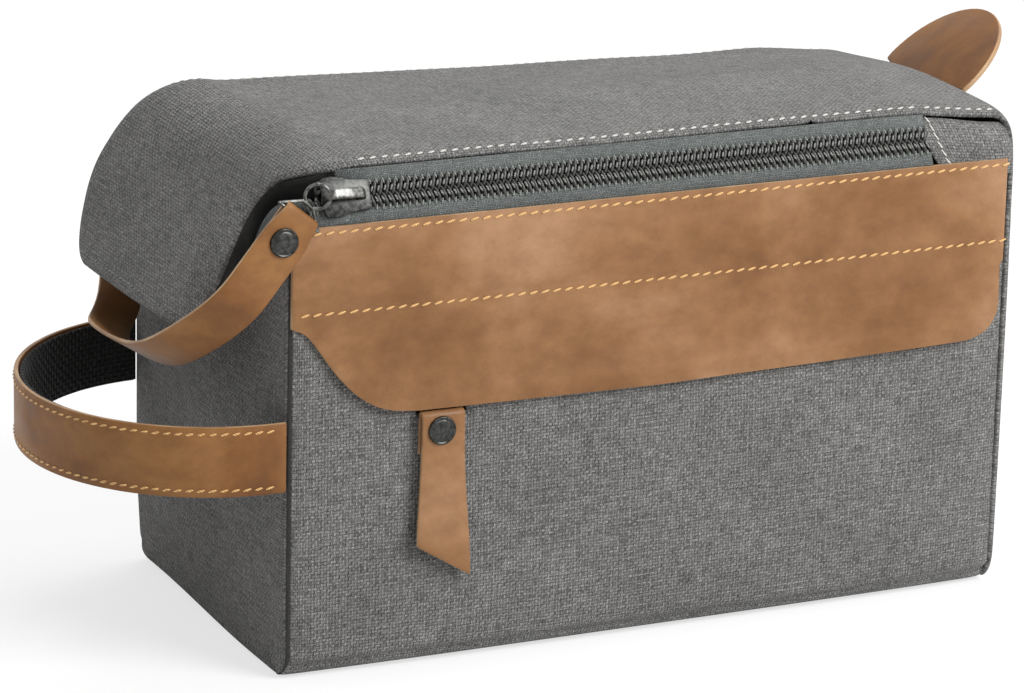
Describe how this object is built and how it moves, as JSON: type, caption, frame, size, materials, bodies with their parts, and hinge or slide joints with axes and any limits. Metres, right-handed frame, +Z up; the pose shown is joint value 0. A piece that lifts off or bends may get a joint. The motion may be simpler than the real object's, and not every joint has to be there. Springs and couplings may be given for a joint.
{
  "type": "toiletry bag",
  "caption": "Box-shaped canvas toiletry bag with a lid between two long zips, leather trim and pulls, a side handle and a zipped front pocket under a leather flap.",
  "frame": {"origin": "centre of the base, on the floor", "axes": "+X runs right along the front face, away from the carrying handle; +Y runs from the front face to the back; +Z is up"},
  "size_m": [0.3664, 0.1508, 0.1944],
  "materials": {
    "canvas_grey": "dense grey canvas weave, matt",
    "leather_tan": "smooth tan hide, satin, edges left raw",
    "lining_dark": "thin woven lining, matt",
    "tape_grey": "woven zip tape, matt",
    "coil_dark": "nylon zip coil, low sheen",
    "metal_dark": "dark nickel finish, worn bright on the edges",
    "webbing_black": "black ribbed webbing, matt"
  },
  "bodies": {
    "bag": {"front_panel": "canvas_grey", "back_panel": "canvas_grey", "bottom_panel": "canvas_grey", "left_end_panel": "canvas_grey", "right_end_panel": "canvas_grey", "top_end_panel": "canvas_grey", "end_zip_tape": "tape_grey", "body_lining": "lining_dark", "leather_band": "leather_tan", "front_lower_tape": "tape_grey", "rear_lower_tape": "tape_grey", "front_lower_coil": "coil_dark", "rear_lower_coil": "coil_dark", "front_end_patch": "canvas_grey", "rear_end_patch": "canvas_grey", "handle_leather": "leather_tan", "handle_webbing": "webbing_black", "pocket_lower_coil": "coil_dark", "pocket_upper_coil": "coil_dark", "pocket_tape": "tape_grey", "pocket_backing": "lining_dark"},
    "lid": {"lid_panel": "canvas_grey", "lid_lining": "lining_dark", "front_upper_tape": "tape_grey", "rear_upper_tape": "tape_grey", "front_upper_coil": "coil_dark", "rear_upper_coil": "coil_dark"},
    "end_flap": {"end_flap_panel": "canvas_grey", "end_flap_lining": "lining_dark", "front_flap_tape": "tape_grey", "rear_flap_tape": "tape_grey"},
    "front_slider": {"front_slider_body": "metal_dark", "front_ring": "metal_dark"},
    "rear_slider": {"rear_slider_body": "metal_dark", "rear_ring": "metal_dark"},
    "main_pull": {"pull_strap": "leather_tan", "front_strap_link": "metal_dark", "rear_strap_link": "metal_dark", "front_strap_rivet": "metal_dark", "rear_strap_rivet": "metal_dark"},
    "pocket_flap": {"leather_flap": "leather_tan"},
    "pocket_slider": {"pocket_slider_body": "metal_dark", "pocket_link": "metal_dark"},
    "small_pull": {"pocket_pull": "leather_tan", "pocket_rivet": "metal_dark"},
    "tab": {"end_tab": "leather_tan"}
  },
  "joints": [
    {"name": "lid_hinge", "type": "hinge", "parent": "bag", "child": "lid", "pos_m": [0.10375, 0, 0.1765], "axis": [0, 1, 0], "range_deg": [0, 100], "deforming": ["front_upper_tape", "rear_upper_tape", "front_upper_coil", "rear_upper_coil"]},
    {"name": "end_flap_hinge", "type": "hinge", "parent": "lid", "child": "end_flap", "pos_m": [-0.10735, 0, 0.1765], "axis": [0, 1, 0], "range_deg": [-14, 110]},
    {"name": "front_slide", "type": "slide", "parent": "bag", "child": "front_slider", "axis": [1, 0, 0], "range_m": [0, 0.205], "deforming": ["pull_strap"]},
    {"name": "rear_slide", "type": "slide", "parent": "bag", "child": "rear_slider", "axis": [1, 0, 0], "range_m": [0, 0.205]},
    {"name": "pull_swing", "type": "hinge", "parent": "front_slider", "child": "main_pull", "pos_m": [-0.1225, -0.07155, 0.16585], "axis": [0, 1, 0], "range_deg": [0, 120]},
    {"name": "pocket_flap_hinge", "type": "hinge", "parent": "bag", "child": "pocket_flap", "pos_m": [0, -0.0714, 0.1225], "axis": [-1, 0, 0], "range_deg": [0, 100]},
    {"name": "pocket_slide", "type": "slide", "parent": "bag", "child": "pocket_slider", "axis": [1, 0, 0], "range_m": [0, 0.17], "deforming": ["pocket_upper_coil"]},
    {"name": "small_pull_swing", "type": "hinge", "parent": "pocket_slider", "child": "small_pull", "pos_m": [-0.0808, -0.072, 0.08785], "axis": [-1, 0, 0], "range_deg": [0, 85]},
    {"name": "tab_bend", "type": "hinge", "parent": "bag", "child": "tab", "pos_m": [0.1364, 0, 0.165], "axis": [0, 1, 0], "range_deg": [-30, 40], "stiffness_Nm_per_rad": 0.05}
  ],
  "couplings": [
    {"joint": "rear_slide", "follows": "front_slide", "ratio": 1},
    {"joint": "pull_swing", "follows": "front_slide", "rad_per_m": 10.2}
  ]
}
